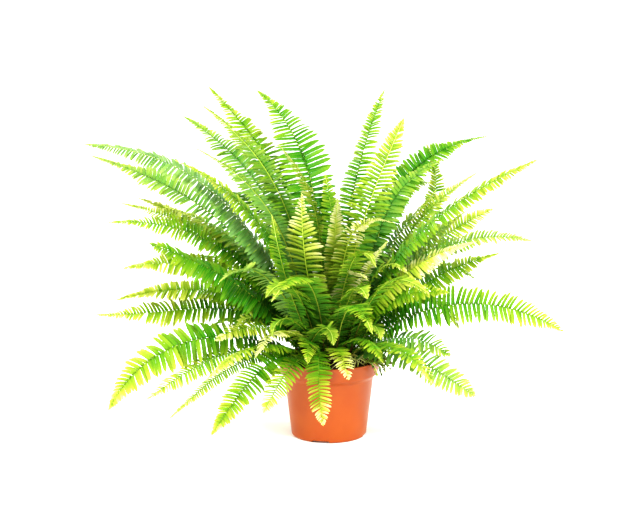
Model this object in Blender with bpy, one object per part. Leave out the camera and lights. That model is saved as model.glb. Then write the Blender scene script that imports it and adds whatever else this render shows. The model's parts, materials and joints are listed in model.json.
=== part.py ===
"""A sword fern in a moulded plastic nursery pot.

Metres, +Z up. The origin is the centre of the pot's underside, on the ground. +X is to the right
of the plant as it is usually seen and -Y is its front. Each frond is one piece: a stalk that
stands in a plain hole in the soil, and a thin arched blade that is cut to the rib in leaflets.
"""

import math
import random
from collections import namedtuple

import bmesh
import bpy
from mathutils import Vector
from mathutils.bvhtree import BVHTree

MM = 0.001

# Pot
POT_SIDES = 32
POT_HEIGHT = 100 * MM
RIM_RADIUS = 65 * MM
COLLAR_RADIUS = 63.2 * MM
COLLAR_HEIGHT = 16 * MM
STEP_HEIGHT = 9 * MM
BODY_TOP_RADIUS = 57 * MM
BODY_FOOT_RADIUS = 48.3 * MM
WALL = 1.4 * MM
FOOT_HEIGHT = 3 * MM
FOOT_WIDTH = 5 * MM
FOOT_ROUND = 2.5 * MM
FLOOR = 2 * MM
EDGE = 1 * MM
CENTRE_FOOT_RADIUS = 9 * MM
NOTCH_WIDTH = 22 * MM
NOTCH_COUNT = 4
NOTCH_TURN = -103
DRAIN_RADIUS = 3.5 * MM
DRAIN_RING_RADIUS = 29 * MM
DRAIN_COUNT = 6

# Soil, mounded up to a flat crown that the fronds stand in
GAP = 0.3 * MM
SIDE_GAP = 0.4 * MM
SOIL_EDGE_HEIGHT = 95 * MM
CROWN_HEIGHT = 103 * MM
CROWN_RADIUS = 40 * MM

# Fronds
ROOT_DEPTH = 12 * MM
ROOT_RISE = 1 * MM
ROOT_SPACING = 4.6 * MM
STEP_ASIDE = 4
MOST_ASIDE = 90
SECOND_ASIDE = 1.4 * MM
SECOND_LIFT = 0.5 * MM
FREE_ABOVE = 14 * MM
STALK_WIDTH = 2.4 * MM
STALK_DEPTH = 1.8 * MM
RIB_TIP_WIDTH = 1.3 * MM
RIB_TIP_DEPTH = 0.7 * MM
BLADE_THICKNESS = 0.65 * MM
CURVE_HANDLE = 0.42
BARE_SHARE = 0.15
PAIR_SPACING = 37 * MM
MIN_PAIRS = 6
LEAN_AT_BASE = 10
LEAN_AT_TIP = 48
LEAFLET_SAG = 0.14

# How the fronds are bent clear of each other
SEED = 7
MARGIN = 0.6 * MM
LOWEST_TIP = 6 * MM
TRIES = 400
FULL_BEND_AT = 90
CROWN_CHOICES = 12

RUNNER_WIDTH = 1.6 * MM

# Turn is the way that a frond leans, in degrees from +X. It leaves the soil at the angle rise, and
# its tip is at reach from the pot's axis and at height, in mm, and points down at the angle fall,
# or up where that is negative, and aside by sweep. Width is half the blade's greatest width, in mm.
Frond = namedtuple("Frond", "turn rise reach height fall width sweep roll")
MOST_BEND = Frond(turn=0, rise=9, reach=12, height=14, fall=14, width=0, sweep=16, roll=30)
SHOWN_FRONDS = [
    # to the left, from the lowest
    Frond(200, 28, 287, 57, 60, 27, 6, -40),
    Frond(208, 22, 250, 76, 26, 15, 8, -35),
    Frond(212, 20, 232, 50, 34, 9, 4, -30),
    Frond(226, 24, 203, 40, 38, 17, 4, -30),
    Frond(242, 26, 168, 68, 36, 15, 0, -20),
    Frond(184, 54, 298, 160, -4, 21, 5, -35),
    Frond(177, 54, 278, 170, 18, 17, -5, -40),
    Frond(183, 52, 270, 218, 2, 18, 5, -35),
    Frond(200, 53, 232, 261, -24, 25, 4, -35),
    Frond(188, 61, 280, 279, 2, 19, 4, -40),
    Frond(163, 62, 290, 288, -8, 19, -4, -35),
    Frond(166, 63, 324, 352, -16, 22, 5, -35),
    Frond(194, 65, 304, 380, -4, 21, -6, -35),
    Frond(205, 66, 203, 362, -26, 17, -8, -40),
    # at the top, from the left
    Frond(218, 71, 205, 383, -26, 18, -6, 15),
    Frond(142, 70, 252, 398, -24, 25, 6, -20),
    Frond(224, 74, 206, 432, -32, 20, -4, 15),
    Frond(130, 77, 262, 429, -42, 25, 4, -25),
    Frond(118, 85, 210, 431, -22, 31, 8, -20),
    Frond(215, 86, 75, 376, -40, 14, 10, 0),
    Frond(95, 89, 60, 330, -60, 20, 20, 0),
    Frond(56, 79, 132, 436, -52, 19, 0, 0),
    Frond(314, 78, 127, 413, -62, 23, 5, -30),
    Frond(40, 52, 168, 366, -125, 17, 0, 20),
    # to the right, from the top
    Frond(27, 75, 242, 374, -4, 20, -5, 30),
    Frond(340, 66, 265, 364, -26, 17, 6, 35),
    Frond(6, 64, 192, 337, -30, 15, 6, 35),
    Frond(18, 54, 228, 283, -22, 20, -5, 40),
    Frond(350, 62, 256, 257, 14, 19, 8, 30),
    Frond(340, 66, 186, 256, -12, 17, 5, 35),
    Frond(5, 50, 223, 233, -12, 20, 6, 40),
    Frond(350, 45, 296, 144, 31, 24, 6, 48),
    Frond(330, 27, 205, 76, 28, 21, 6, 35),
    Frond(319, 44, 164, 86, 62, 16, 6, 10),
    # in front
    Frond(266, 60, 98, 32, 72, 15, 45, 0),
    Frond(282, 58, 110, 98, 60, 13, 8, 0),
    Frond(235, 55, 155, 130, 50, 14, 0, 10),
    Frond(217, 50, 166, 156, 24, 15, -6, -10),
    Frond(318, 74, 107, 284, 20, 14, 35, -30),
    Frond(246, 70, 82, 322, -92, 25, 0, 0),
    Frond(285, 84, 42, 312, -70, 13, 0, 0),
    # a young one that trails over the rim
    Frond(346, 24, 113, 94, 42, 5, 8, 0),
]

# The rest fills the plant in arcs of turns: (count, first turn, last turn, rise, reach, height,
# fall, half width).
OUTER_ARCS = [
    (2, 220, 310, 66, 150, 215, 34, 17),
    (3, 40, 150, 66, 240, 290, 12, 20),
    (5, 30, 158, 48, 270, 175, 38, 21),
    (5, 38, 150, 32, 250, 85, 58, 20),
]

# Second fronds, which grow from the same crowns as their neighbours in the first lists
SECOND_FRONDS = [
    # at the top, from the left to the right
    Frond(230, 62, 106, 298, -72, 15, 0, 0),
    Frond(158, 60, 275, 292, -14, 14, 0, -20),
    Frond(175, 60, 218, 294, -28, 24, 0, -30),
    Frond(15, 68, 150, 358, -20, 23, 0, 30),
    Frond(5, 68, 128, 318, -40, 20, 0, 30),
    Frond(350, 62, 182, 302, -32, 16, 0, 35),
    Frond(320, 72, 86, 268, -42, 9, 0, 0),
    Frond(335, 56, 168, 191, -4, 15, 0, 30),
    Frond(338, 38, 162, 116, 34, 20, 0, 30),
    # in front
    Frond(252, 66, 210, 205, 32, 17, 0, 0),
    Frond(284, 64, 200, 180, 40, 17, 0, 0),
    Frond(306, 62, 195, 215, 28, 16, 5, 10),
    Frond(228, 66, 195, 235, 25, 17, 0, -10),
    Frond(296, 84, 118, 230, 60, 15, 0, 0),
    Frond(255, 80, 60, 208, 20, 12, 20, 0),
    Frond(295, 78, 62, 186, 30, 14, -30, 0),
    Frond(226, 32, 208, 110, 30, 12, 0, 0),
    Frond(258, 46, 118, 112, 66, 13, 0, 0),
    Frond(302, 48, 122, 118, 62, 13, 0, 0),
]
SECOND_ARCS = [
    (9, 195, 555, 68, 100, 225, 38, 15),
    (10, 215, 575, 54, 120, 145, 58, 14),
]

# The runner's route from its hole over the soil and the rim: (reach, height) in mm
RUNNER_TURN = -38
RUNNER_ROUTE = [
    (36, 92), (36, 104), (37, 107), (42, 109), (49, 106), (57, 103), (65, 102.5), (71, 100), (75, 94),
]


def clear_scene():
    for item in list(bpy.data.objects):
        bpy.data.objects.remove(item)


def material(name, colour, roughness):
    made = bpy.data.materials.new(name)
    made.use_nodes = True
    shader = made.node_tree.nodes["Principled BSDF"]
    shader.inputs["Base Color"].default_value = (*colour, 1)
    shader.inputs["Roughness"].default_value = roughness
    shader.inputs["Metallic"].default_value = 0
    return made


def new_object(name, points, faces, finish):
    mesh = bpy.data.meshes.new(name)
    mesh.from_pydata([tuple(p) for p in points], [], faces)
    mesh.materials.append(finish)
    made = bpy.data.objects.new(name, mesh)
    bpy.context.scene.collection.objects.link(made)
    return made


def turned(name, profile, sides, finish):
    """A solid of revolution. The profile runs from the axis round to the axis, bottom first."""
    points = []
    faces = []
    rings = []
    for radius, height in profile:
        if radius == 0:
            rings.append([len(points)])
            points.append((0, 0, height))
            continue
        rings.append(list(range(len(points), len(points) + sides)))
        for k in range(sides):
            angle = 2 * math.pi * k / sides
            points.append((radius * math.cos(angle), radius * math.sin(angle), height))
    for low, high in zip(rings, rings[1:]):
        for k in range(sides):
            after = (k + 1) % sides
            if len(low) == 1:
                faces.append((low[0], high[after], high[k]))
            elif len(high) == 1:
                faces.append((low[k], low[after], high[0]))
            else:
                faces.append((low[k], low[after], high[after], high[k]))
    return new_object(name, points, faces, finish)


def prism(name, corners, low, high):
    """A cutter: an upright prism on the given (x, y) corners, listed anticlockwise."""
    count = len(corners)
    points = [(x, y, low) for x, y in corners] + [(x, y, high) for x, y in corners]
    faces = [tuple(reversed(range(count))), tuple(range(count, 2 * count))]
    for k in range(count):
        after = (k + 1) % count
        faces.append((k, after, count + after, count + k))
    made = new_object(name, points, faces, None)
    made.hide_render = True
    made.display_type = "WIRE"
    return made


def cut(solid, cutters, name):
    """Cuts a group of cutters from a solid, applies the cut and removes them."""
    group = bpy.data.collections.new(name)
    bpy.context.scene.collection.children.link(group)
    for cutter in cutters:
        bpy.context.scene.collection.objects.unlink(cutter)
        group.objects.link(cutter)
    modifier = solid.modifiers.new(name, "BOOLEAN")
    modifier.operation = "DIFFERENCE"
    modifier.operand_type = "COLLECTION"
    modifier.collection = group
    bpy.context.view_layer.objects.active = solid
    bpy.ops.object.modifier_apply(modifier=name)
    for cutter in cutters:
        bpy.data.objects.remove(cutter)
    bpy.data.collections.remove(group)


def wall_line(inset, low):
    """(radius, height) points up a wall: the tapered body, the curved step and the collar."""
    body_top = POT_HEIGHT - COLLAR_HEIGHT - STEP_HEIGHT
    slope = (BODY_TOP_RADIUS - BODY_FOOT_RADIUS) / (body_top - FOOT_HEIGHT)
    line = [(BODY_FOOT_RADIUS + slope * (low - FOOT_HEIGHT) - inset, low)]
    for k in range(4):
        share = k / 3
        out = share * share * (3 - 2 * share)
        radius = BODY_TOP_RADIUS + (COLLAR_RADIUS - BODY_TOP_RADIUS) * out
        line.append((radius - inset, body_top + STEP_HEIGHT * share))
    line.append((RIM_RADIUS - inset, POT_HEIGHT - EDGE))
    return line


def make_pot(finish):
    floor_top = FOOT_HEIGHT + FLOOR
    foot_in = BODY_FOOT_RADIUS - FOOT_ROUND - FOOT_WIDTH
    profile = [
        (0, 0),
        (CENTRE_FOOT_RADIUS, 0),
        (CENTRE_FOOT_RADIUS + EDGE, FOOT_HEIGHT),
        (foot_in - EDGE, FOOT_HEIGHT),
        (foot_in, 0),
        (BODY_FOOT_RADIUS - FOOT_ROUND, 0),
        (BODY_FOOT_RADIUS - FOOT_ROUND * 0.3, FOOT_HEIGHT * 0.3),
    ]
    profile += wall_line(0, FOOT_HEIGHT)
    profile += [(RIM_RADIUS - EDGE / 2, POT_HEIGHT), (RIM_RADIUS - WALL - EDGE / 2, POT_HEIGHT)]
    profile += reversed(wall_line(WALL, floor_top)[:-1])
    profile.append((0, floor_top))
    pot = turned("pot", profile, POT_SIDES, finish)
    cutters = []
    for k in range(NOTCH_COUNT):
        angle = math.radians(NOTCH_TURN + 360 * k / NOTCH_COUNT)
        out = Vector((math.cos(angle), math.sin(angle), 0))
        side = Vector((-out.y, out.x, 0)) * NOTCH_WIDTH / 2
        near = out * (foot_in - 6 * MM)
        far = out * (BODY_FOOT_RADIUS + 5 * MM)
        corners = [(p.x, p.y) for p in (near - side, far - side, far + side, near + side)]
        cutters.append(prism("notch_cutter", corners, -1 * MM, FOOT_HEIGHT - GAP))
    for k in range(DRAIN_COUNT):
        angle = 2 * math.pi * (k + 0.5) / DRAIN_COUNT
        x = DRAIN_RING_RADIUS * math.cos(angle)
        y = DRAIN_RING_RADIUS * math.sin(angle)
        corners = []
        for j in range(8):
            turn = 2 * math.pi * j / 8
            corners.append((x + DRAIN_RADIUS * math.cos(turn), y + DRAIN_RADIUS * math.sin(turn)))
        cutters.append(prism("drain_cutter", corners, 0, floor_top + MM))
    cut(pot, cutters, "pot_cuts")
    return pot


def make_soil(finish):
    """The soil fills the pot, a small gap inside its wall, and is mounded up to the crown."""
    bottom = FOOT_HEIGHT + FLOOR + GAP
    side = wall_line(WALL + SIDE_GAP, bottom)[:-1]
    profile = [(0, bottom)] + side
    profile += [(side[-1][0], SOIL_EDGE_HEIGHT), (CROWN_RADIUS, CROWN_HEIGHT), (0, CROWN_HEIGHT)]
    return turned("soil", profile, POT_SIDES, finish)


def cut_holes(soil, holes):
    """Cuts a plain hole in the soil for each stalk."""
    low = CROWN_HEIGHT - ROOT_DEPTH - GAP
    high = CROWN_HEIGHT + ROOT_RISE
    cut(soil, [prism("stalk_cutter", corners, low, high) for corners in holes], "stalk_holes")


def leaf_share(u):
    """Leaflet length at a share u of the blade, against the longest: short at both ends."""
    rising = 0.45 + 0.55 * min(1, u / 0.3) ** 0.8
    falling = (1 - max(0, (u - 0.45) / 0.55) ** 1.7) ** 0.9
    return max(0.1, rising * falling)


def direction(turn, rise):
    turn = math.radians(turn)
    rise = math.radians(rise)
    return Vector((math.cos(rise) * math.cos(turn), math.cos(rise) * math.sin(turn), math.sin(rise)))


def rib_line(frond, root, steps=60):
    """Points evenly spaced along the rib, from just above the soil to the tip."""
    start = root + Vector((0, 0, ROOT_RISE))
    end = direction(frond.turn, 0) * frond.reach * MM + Vector((0, 0, frond.height * MM))
    handle = (end - start).length * CURVE_HANDLE
    leaving = start + direction(frond.turn - frond.sweep, frond.rise) * handle
    arriving = end - direction(frond.turn + frond.sweep, -frond.fall) * handle
    curve = []
    for k in range(steps + 1):
        t = k / steps
        s = 1 - t
        curve.append(start * s**3 + leaving * 3 * s * s * t + arriving * 3 * s * t * t + end * t**3)
    reached = [0]
    for a, b in zip(curve, curve[1:]):
        reached.append(reached[-1] + (b - a).length)
    points = []
    k = 0
    for step in range(steps + 1):
        goal = reached[-1] * step / steps
        while k < steps - 1 and reached[k + 1] < goal:
            k += 1
        points.append(curve[k].lerp(curve[k + 1], (goal - reached[k]) / (reached[k + 1] - reached[k])))
    return points


def point_on(line, u):
    place = u * (len(line) - 1)
    k = min(int(place), len(line) - 2)
    return line[k].lerp(line[k + 1], place - k)


def axes_on(frond, line, u):
    """(along, across, up) directions of the rib at a share u of its length."""
    step = 1 / (len(line) - 1)
    along = (point_on(line, min(1, u + step)) - point_on(line, max(0, u - step))).normalized()
    aside = direction(frond.turn + 90, 0)
    across = (aside - along * aside.dot(along)).normalized()
    roll = math.radians(frond.roll) * min(1, u / 0.35)
    across = across * math.cos(roll) + along.cross(across) * math.sin(roll)
    return along, across, along.cross(across)


def bay_ends(length):
    """Shares of a rib of this length where one pair of leaflets ends and the next begins."""
    count = max(MIN_PAIRS, round(length / PAIR_SPACING))
    sizes = [0.42 + 0.58 * leaf_share((k + 0.5) / count) for k in range(count)]
    ends = [BARE_SHARE]
    for size in sizes:
        ends.append(ends[-1] + size * (1 - BARE_SHARE) / sum(sizes))
    return ends


def ring(points, centre, across, up, width, depth):
    """Adds the four corners of a stalk's section and returns their places in the list."""
    first = len(points)
    for x, z in ((1, 1), (-1, 1), (-1, -1), (1, -1)):
        points.append(centre + across * x * width / 2 + up * z * depth / 2)
    return range(first, first + 4)


def quad(faces, a, b, c, d):
    faces.append((a, b, c))
    faces.append((a, c, d))


def leaflet(points, faces, low, high, tip, up, side):
    """A pointed leaflet between two rings of the rib, on the side where across is 1 or -1."""
    top, bottom = (0, 3) if side > 0 else (1, 2)
    tip_top = len(points)
    tip_bottom = tip_top + 1
    points.append(tip + up * BLADE_THICKNESS / 2)
    points.append(tip - up * BLADE_THICKNESS / 2)
    made = [(low[top], high[top], tip_top), (low[bottom], tip_bottom, high[bottom])]
    quad(made, low[top], tip_top, tip_bottom, low[bottom])
    quad(made, tip_top, high[top], high[bottom], tip_bottom)
    if side < 0:
        made = [tuple(reversed(face)) for face in made]
    faces.extend(made)


def frond_mesh(frond, root):
    """(points, triangles) of a frond: its stalk from the bottom of its hole, rib and leaflets."""
    line = rib_line(frond, root)
    points = []
    faces = []
    out = direction(frond.turn, 0)
    across = direction(frond.turn + 90, 0)
    foot = root - Vector((0, 0, ROOT_DEPTH))
    rings = [
        ring(points, foot, across, -out, STALK_WIDTH, STALK_DEPTH),
        ring(points, line[0], across, -out, STALK_WIDTH, STALK_DEPTH),
    ]
    length = (line[1] - line[0]).length * (len(line) - 1)
    ends = bay_ends(length)
    for u in ends:
        along, across, up = axes_on(frond, line, u)
        share = u**0.6
        width = STALK_WIDTH + (RIB_TIP_WIDTH - STALK_WIDTH) * share
        depth = STALK_DEPTH + (RIB_TIP_DEPTH - STALK_DEPTH) * share
        rings.append(ring(points, point_on(line, u), across, up, width, depth))
    first = rings[0]
    quad(faces, first[0], first[3], first[2], first[1])
    leafed_from = len(rings) - len(ends)
    for k, (low, high) in enumerate(zip(rings, rings[1:])):
        quad(faces, low[0], low[1], high[1], high[0])
        quad(faces, low[3], high[3], high[2], low[2])
        if k < leafed_from:
            quad(faces, low[1], low[2], high[2], high[1])
            quad(faces, low[3], low[0], high[0], high[3])
            continue
        middle = (ends[k - leafed_from] + ends[k - leafed_from + 1]) / 2
        blade_share = (middle - BARE_SHARE) / (1 - BARE_SHARE)
        size = frond.width * MM * leaf_share(blade_share)
        forward = math.radians(LEAN_AT_BASE + (LEAN_AT_TIP - LEAN_AT_BASE) * blade_share**2)
        along, across, up = axes_on(frond, line, middle)
        centre = point_on(line, middle) + along * size * math.sin(forward) - up * size * LEAFLET_SAG
        for side in (1, -1):
            tip = centre + across * side * size * math.cos(forward)
            leaflet(points, faces, low, high, tip, up, side)
    last = rings[-1]
    quad(faces, last[0], last[1], last[2], last[3])
    return points, faces


def root_hole(frond, root):
    """Corners of the plain hole in the soil that a stalk stands in."""
    out = direction(frond.turn, 0) * (STALK_DEPTH / 2 + GAP)
    across = direction(frond.turn + 90, 0) * (STALK_WIDTH / 2 + GAP)
    corners = (-out - across, out - across, out + across, across - out)
    return [(root.x + c.x, root.y + c.y) for c in corners]


def place_roots(fronds):
    """A root for each frond: steep ones at the middle of the crown, low ones round its edge."""
    order = sorted(range(len(fronds)), key=lambda k: -fronds[k].rise)
    runner = direction(RUNNER_TURN, 0) * RUNNER_ROUTE[0][0] * MM
    roots = {"runner": runner + Vector((0, 0, CROWN_HEIGHT))}
    for rank, k in enumerate(order):
        out = (CROWN_RADIUS - ROOT_SPACING) * math.sqrt((rank + 0.5) / len(fronds))
        for step in range(MOST_ASIDE):
            aside = (step + 1) // 2 * (-1) ** step * STEP_ASIDE
            roots[k] = direction(fronds[k].turn + aside, 0) * out + Vector((0, 0, CROWN_HEIGHT))
            others = [other for name, other in roots.items() if name != k]
            if all((roots[k] - other).length > ROOT_SPACING for other in others):
                break
    return [roots[k] for k in range(len(fronds))]


def solid_tree(solid):
    mesh = solid.data
    return BVHTree.FromPolygons([v.co for v in mesh.vertices], [p.vertices for p in mesh.polygons])


def padded(points, faces, pad):
    """A frond's triangles above its hole, moved outwards by a pad to find what comes near."""
    mesh = bmesh.new()
    for point in points:
        mesh.verts.new(point)
    mesh.verts.ensure_lookup_table()
    for face in faces:
        mesh.faces.new([mesh.verts[k] for k in face])
    mesh.normal_update()
    moved = [v.co + v.normal * pad for v in mesh.verts]
    mesh.free()
    return BVHTree.FromPolygons(moved, [face for face in faces if min(face) > 3])


def bent_clear(frond, root, taken, draw):
    """(points, triangles) of a frond, bent a little until it and a margin round it touch nothing."""
    for count in range(TRIES):
        share = min(1, count / FULL_BEND_AT)
        trial = Frond(*[value + most * share * draw.uniform(-1, 1) for value, most in zip(frond, MOST_BEND)])
        points, faces = frond_mesh(trial, root)
        if min(point.z for point in points[8:]) < LOWEST_TIP:
            continue
        tree = padded(points, faces, MARGIN)
        if not any(tree.overlap(other) for other in taken):
            return points, faces
    return None


def fronds_in_arcs(arcs, draw):
    """Fronds spread evenly along arcs of turns."""
    fronds = []
    for count, first, last, rise, reach, height, fall, width in arcs:
        for k in range(count):
            fronds.append(Frond(
                turn=first + (last - first) * (k + 0.5) / count + draw.uniform(-6, 6),
                rise=rise + draw.uniform(-4, 4),
                reach=reach * draw.uniform(0.9, 1.08),
                height=height + draw.uniform(-12, 12),
                fall=fall + draw.uniform(-8, 8),
                width=width,
                sweep=draw.uniform(-10, 10),
                roll=draw.uniform(-15, 15),
            ))
    return fronds


def turn_between(a, b):
    return abs((a - b + 180) % 360 - 180)


def upper_tree(points, faces):
    """The triangles of a frond that are well above the crown."""
    high = CROWN_HEIGHT + FREE_ABOVE
    return BVHTree.FromPolygons(points, [face for face in faces if min(points[k].z for k in face) > high])


def crowns_near(second, fronds, used):
    """Fronds that a second one could grow beside, the most alike first."""
    free = [k for k in range(len(fronds)) if k not in used]
    free.sort(key=lambda k: turn_between(fronds[k].turn, second.turn) + abs(fronds[k].rise - second.rise) / 2)
    return free[:CROWN_CHOICES]


def grown_beside(second, fronds, roots, grown, taken, used, draw):
    """Grows a second frond from a crown near its turn: (the crown's place, root, points, triangles).

    One that finds no room is left out.
    """
    for k in crowns_near(second, fronds, used):
        root = roots[k] + direction(fronds[k].turn + 90, 0) * SECOND_ASIDE + Vector((0, 0, SECOND_LIFT))
        others = [tree for name, tree in taken.items() if name != k]
        others.append(upper_tree(*grown[k][1:]))
        found = bent_clear(second, root, others, draw)
        if found:
            return k, root, *found
    return None


def join(solid, other):
    """Joins a solid with another that it crosses."""
    modifier = solid.modifiers.new("join", "BOOLEAN")
    modifier.operation = "UNION"
    modifier.object = other
    bpy.context.view_layer.objects.active = solid
    bpy.ops.object.modifier_apply(modifier="join")
    bpy.data.objects.remove(other)


def smooth_line(route, steps=3):
    """A smooth curve through the points of a route."""
    places = [route[0]]
    for k in range(len(route) - 1):
        before = route[max(k - 1, 0)]
        start, end = route[k], route[k + 1]
        after = route[min(k + 2, len(route) - 1)]
        for step in range(1, steps + 1):
            t = step / steps
            slope_in = (end - before) / 2
            slope_out = (after - start) / 2
            place = start * (2 * t**3 - 3 * t**2 + 1) + end * (3 * t**2 - 2 * t**3)
            place += slope_in * (t**3 - 2 * t**2 + t) + slope_out * (t**3 - t**2)
            places.append(place)
    return places


def runner_mesh():
    """(points, triangles) of the runner: a thin square tube along its route."""
    out = direction(RUNNER_TURN, 0)
    across = direction(RUNNER_TURN + 90, 0)
    line = smooth_line([out * reach * MM + Vector((0, 0, height * MM)) for reach, height in RUNNER_ROUTE])
    points = []
    faces = []
    rings = []
    for k, place in enumerate(line):
        along = (line[min(k + 1, len(line) - 1)] - line[max(k - 1, 0)]).normalized()
        rings.append(ring(points, place, across, along.cross(across), RUNNER_WIDTH, RUNNER_WIDTH))
    for low, high in zip(rings, rings[1:]):
        for k in range(4):
            quad(faces, low[k], low[(k + 1) % 4], high[(k + 1) % 4], high[k])
    first, last = rings[0], rings[-1]
    quad(faces, first[0], first[3], first[2], first[1])
    quad(faces, last[0], last[1], last[2], last[3])
    return points, faces


def runner_hole():
    out = direction(RUNNER_TURN, 0)
    across = direction(RUNNER_TURN + 90, 0) * (RUNNER_WIDTH / 2 + GAP)
    middle = out * RUNNER_ROUTE[0][0] * MM
    deep = out * (RUNNER_WIDTH / 2 + GAP)
    corners = (middle - deep - across, middle + deep - across, middle + deep + across, middle - deep + across)
    return [(corner.x, corner.y) for corner in corners]


def main():
    clear_scene()
    terracotta = material("terracotta_plastic", (0.85, 0.18, 0.04), 0.4)
    peat = material("peat", (0.022, 0.013, 0.008), 0.95)
    leaf = material("fern_leaf", (0.12, 0.33, 0.03), 0.5)
    stem = material("fern_runner", (0.42, 0.45, 0.16), 0.6)

    pot = make_pot(terracotta)
    soil = make_soil(peat)
    runner = new_object("runner", *runner_mesh(), stem)
    taken = {solid.name: solid_tree(solid) for solid in (pot, soil, runner)}
    holes = [runner_hole()]

    draw = random.Random(SEED)
    fronds = SHOWN_FRONDS + fronds_in_arcs(OUTER_ARCS, draw)
    grown = []
    roots = place_roots(fronds)
    for k, (frond, root) in enumerate(zip(fronds, roots)):
        points, faces = bent_clear(frond, root, taken.values(), draw)
        taken[k] = BVHTree.FromPolygons(points, faces)
        holes.append(root_hole(frond, root))
        solid = new_object(f"frond_{k + 1:02d}", points, faces, leaf)
        grown.append((solid, points, faces))

    used = []
    for second in SECOND_FRONDS + fronds_in_arcs(SECOND_ARCS, draw):
        found = grown_beside(second, fronds, roots, grown, taken, used, draw)
        if not found:
            continue
        k, root, points, faces = found
        used.append(k)
        taken[f"second_{k}"] = BVHTree.FromPolygons(points, faces)
        holes.append(root_hole(second, root))
        join(grown[k][0], new_object("second", points, faces, leaf))

    cut_holes(soil, holes)
    for solid in (pot, soil):
        solid.data.shade_smooth()
        solid.data.set_sharp_from_angle(angle=math.radians(35))


if __name__ == "__main__":
    main()
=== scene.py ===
"""A sword fern in a moulded plastic nursery pot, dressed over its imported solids.

Metres and degrees, +Z up, in the solids' own frame. Every frond is grown again on the rib of its
solid, with leaflets at their real spacing. The pot is drawn up again with round walls. Peat with
crumbs, fibres and moss, the wiry runners and a small creeper take the place of the plain soil and
runner.
"""

import json
import math
import random
from collections import namedtuple

import bmesh
import bpy
from mathutils import Matrix, Vector, noise
from mathutils.kdtree import KDTree

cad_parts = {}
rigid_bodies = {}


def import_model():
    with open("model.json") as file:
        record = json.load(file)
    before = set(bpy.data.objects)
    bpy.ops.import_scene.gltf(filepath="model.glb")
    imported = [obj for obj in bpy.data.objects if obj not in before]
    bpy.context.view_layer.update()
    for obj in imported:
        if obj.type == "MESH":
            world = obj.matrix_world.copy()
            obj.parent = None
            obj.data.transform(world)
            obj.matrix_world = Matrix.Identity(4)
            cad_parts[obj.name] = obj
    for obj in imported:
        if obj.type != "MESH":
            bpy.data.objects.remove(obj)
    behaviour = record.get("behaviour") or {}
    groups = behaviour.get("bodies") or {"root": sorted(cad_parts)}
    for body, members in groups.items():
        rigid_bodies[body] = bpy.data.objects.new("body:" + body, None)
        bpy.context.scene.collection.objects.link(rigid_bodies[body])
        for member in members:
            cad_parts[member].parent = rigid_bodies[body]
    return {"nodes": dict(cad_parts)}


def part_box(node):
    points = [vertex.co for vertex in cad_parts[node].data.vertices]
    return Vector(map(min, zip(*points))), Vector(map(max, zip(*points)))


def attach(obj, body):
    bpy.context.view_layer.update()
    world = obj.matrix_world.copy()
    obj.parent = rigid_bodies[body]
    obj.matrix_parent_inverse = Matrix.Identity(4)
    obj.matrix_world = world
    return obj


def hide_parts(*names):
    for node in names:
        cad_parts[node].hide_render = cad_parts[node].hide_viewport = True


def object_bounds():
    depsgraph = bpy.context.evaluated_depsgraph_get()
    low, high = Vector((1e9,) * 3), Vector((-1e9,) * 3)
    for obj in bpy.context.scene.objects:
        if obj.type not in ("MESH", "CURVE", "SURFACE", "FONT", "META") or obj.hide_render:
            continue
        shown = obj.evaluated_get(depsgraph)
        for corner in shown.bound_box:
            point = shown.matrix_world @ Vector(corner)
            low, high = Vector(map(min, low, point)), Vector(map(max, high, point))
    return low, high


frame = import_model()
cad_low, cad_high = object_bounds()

MM = 0.001
SEED = 11

pot_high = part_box("pot")[1]
soil_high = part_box("soil")[1]

# Pot: the walls of the solid one, drawn with finer steps
RIM_RADIUS = pot_high.x
POT_HEIGHT = pot_high.z
COLLAR_RADIUS = 63.2 * MM
COLLAR_HEIGHT = 16 * MM
COLLAR_LEAN = (RIM_RADIUS - COLLAR_RADIUS) / COLLAR_HEIGHT
STEP_HEIGHT = 9 * MM
BODY_TOP_RADIUS = 57 * MM
BODY_FOOT_RADIUS = 48.3 * MM
WALL = 1.4 * MM
FOOT_HEIGHT = 3 * MM
FOOT_WIDTH = 5 * MM
FOOT_ROUND = 2.5 * MM
FLOOR = 2 * MM
FLOOR_TOP = FOOT_HEIGHT + FLOOR
EDGE = 0.7 * MM
CENTRE_FOOT_RADIUS = 9 * MM
SPIN_STEPS = 128
NOTCH_WIDTH = 22 * MM
NOTCH_DEPTH = 22 * MM
NOTCH_HEIGHT = 2.7 * MM
NOTCH_COUNT = 4
NOTCH_TURN = -103
DRAIN_RADIUS = 3.5 * MM
DRAIN_RING_RADIUS = 29 * MM
DRAIN_COUNT = 6
DRAIN_CUT = 12 * MM

# Soil: mounded up from the wall to a flat crown
SOIL_TOP = soil_high.z
SOIL_EDGE = SOIL_TOP - 8 * MM
MOUND_RADIUS = 40 * MM
SOIL_GAP = 0.4 * MM
SOIL_RINGS = 56
SOIL_STEPS = 150
CLOD = 8 * MM
CRUMB = 2.2 * MM
CRUMB_COUNT = 900
FIBRE_COUNT = 160
MOSS_COUNT = 14
MOSS_LEAVES = 70

# Runners and creeper. The thick runner's stations are millimetres out from the pot's axis, and
# millimetres above the soil's crown.
RUNNER_TURN = math.radians(-38)
RUNNER_RADIUS = 0.7 * MM
RUNNER_ROUTE = [(36, -9), (36, 1), (41, 6), (49, 3), (57, 0), (65, -0.5), (71, -3), (75, -9), (78, -15)]
WIRE_COUNT = 34
WIRE_STEP = 2 * MM
WIRE_TAPER = 0.55
CREEPER_COUNT = 15
CREEPER_TURN = -40
CREEPER_SPACING = 3.8
CREEPER_RADIUS = 0.28 * MM
CREEPER_STEP = 1.5 * MM
CREEPER_GAPS = 0.12
BARE_STATIONS = 3

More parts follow.
